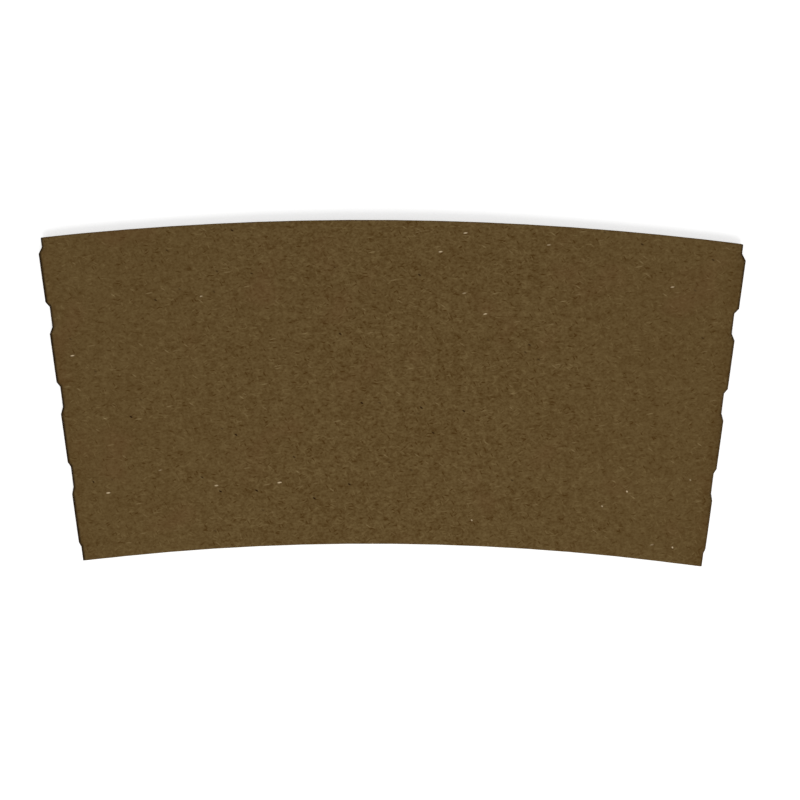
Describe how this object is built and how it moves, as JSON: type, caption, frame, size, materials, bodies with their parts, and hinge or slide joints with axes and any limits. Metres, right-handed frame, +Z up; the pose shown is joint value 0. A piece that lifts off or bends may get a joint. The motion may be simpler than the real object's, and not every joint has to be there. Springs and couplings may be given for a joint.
{
  "type": "coffee cup sleeve",
  "caption": "Corrugated kraft sleeve for a paper hot-drink cup, folded flat at perforated creases and glued into a tapered band by a lap on its back.",
  "frame": {"origin": "middle of the underside of the folded sleeve, on the surface that it lies on", "axes": "+X across the panels towards the right-hand crease, +Y towards the wide edge that goes at the top of a cup, +Z up out of the front panel"},
  "size_m": [0.1308, 0.0636, 0.0037],
  "materials": {
    "kraft_board": "matte uncoated dark recycled kraft board"
  },
  "bodies": {
    "root": {"sleeve": "kraft_board"}
  },
  "joints": []
}
